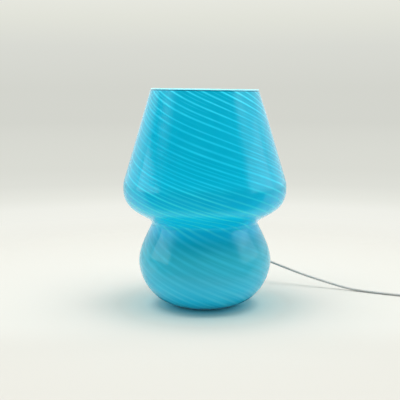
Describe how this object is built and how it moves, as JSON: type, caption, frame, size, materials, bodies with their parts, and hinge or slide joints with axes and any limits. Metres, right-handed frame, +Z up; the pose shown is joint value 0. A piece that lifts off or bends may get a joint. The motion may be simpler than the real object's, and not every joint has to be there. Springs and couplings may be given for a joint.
{
  "type": "table lamp",
  "caption": "Gourd-shaped table lamp in one piece of blown striped glass, open at the top, with a clip-in lampholder, screw bulb, inline rocker switch and a plug.",
  "frame": {"origin": "on the table, under the lamp's axis", "axes": "+Z up the lamp's axis, +Y towards the hole where the lead leaves, +X to the side where the lead lies"},
  "size_m": [0.4545, 0.2164, 0.25],
  "materials": {
    "striped_glass": "blown opal glass, cyan with fine pale twisted stripes, glossy",
    "clear_silicone": "clear silicone, satin",
    "spring_steel": "zinc-plated steel",
    "brass": "bright brass",
    "holder_plastic": "white moulded thermoset",
    "ceramic": "glazed ceramic",
    "lead_sheath": "translucent grey PVC over twisted cores",
    "core_insulation": "coloured PVC",
    "nickel": "nickel-plated, satin",
    "opal_globe": "opal polycarbonate, satin",
    "bulb_plastic": "white moulded plastic",
    "black_glass": "black vitrite glass",
    "switch_plastic": "grey moulded plastic",
    "rocker_plastic": "darker grey moulded plastic",
    "black_plastic": "black plastic"
  },
  "bodies": {
    "lamp": {"glass_body": "striped_glass", "foot_pads": "clear_silicone", "cord_bush": "clear_silicone", "clip_sleeves": "clear_silicone", "spring_clip": "spring_steel", "lock_nut": "spring_steel", "tooth_washer": "spring_steel", "terminal_screws": "spring_steel", "switch_screws": "spring_steel", "threaded_tube": "brass", "screw_shell": "brass", "centre_contact": "brass", "terminal_posts": "brass", "switch_contacts": "brass", "holder_cap": "holder_plastic", "holder_body": "holder_plastic", "cord_grip": "holder_plastic", "insulator_seat": "ceramic", "inner_lead": "lead_sheath", "cord_to_switch": "lead_sheath", "cord_to_coil": "lead_sheath", "cord_coil": "lead_sheath", "cord_to_plug": "lead_sheath", "wire_cores": "core_insulation", "switch_cores": "core_insulation", "plug_pins": "nickel", "switch_base": "switch_plastic", "switch_cover": "switch_plastic", "plug_body": "switch_plastic", "coil_tie": "black_plastic", "pin_sleeves": "black_plastic"},
    "bulb_carrier": {"bulb_eyelet": "nickel"},
    "bulb": {"bulb_globe": "opal_globe", "bulb_housing": "bulb_plastic", "bulb_screw_cap": "nickel", "bulb_glass_bead": "black_glass"},
    "rocker": {"switch_rocker": "rocker_plastic"}
  },
  "joints": [
    {"name": "bulb_lift", "type": "slide", "parent": "lamp", "child": "bulb_carrier", "axis": [0, 0, 1], "range_m": [0, 0.0145]},
    {"name": "bulb_turn", "type": "hinge", "parent": "bulb_carrier", "child": "bulb", "pos_m": [0, 0, 0.15], "axis": [0, 0, 1], "range_deg": [0, 1440]},
    {"name": "rocker_tip", "type": "hinge", "parent": "lamp", "child": "rocker", "pos_m": [0.31, 0.02, 0.0112], "axis": [0, 1, 0], "range_deg": [0, 16]}
  ],
  "couplings": [
    {"joint": "bulb_turn", "follows": "bulb_lift", "rad_per_m": 1731.6}
  ]
}
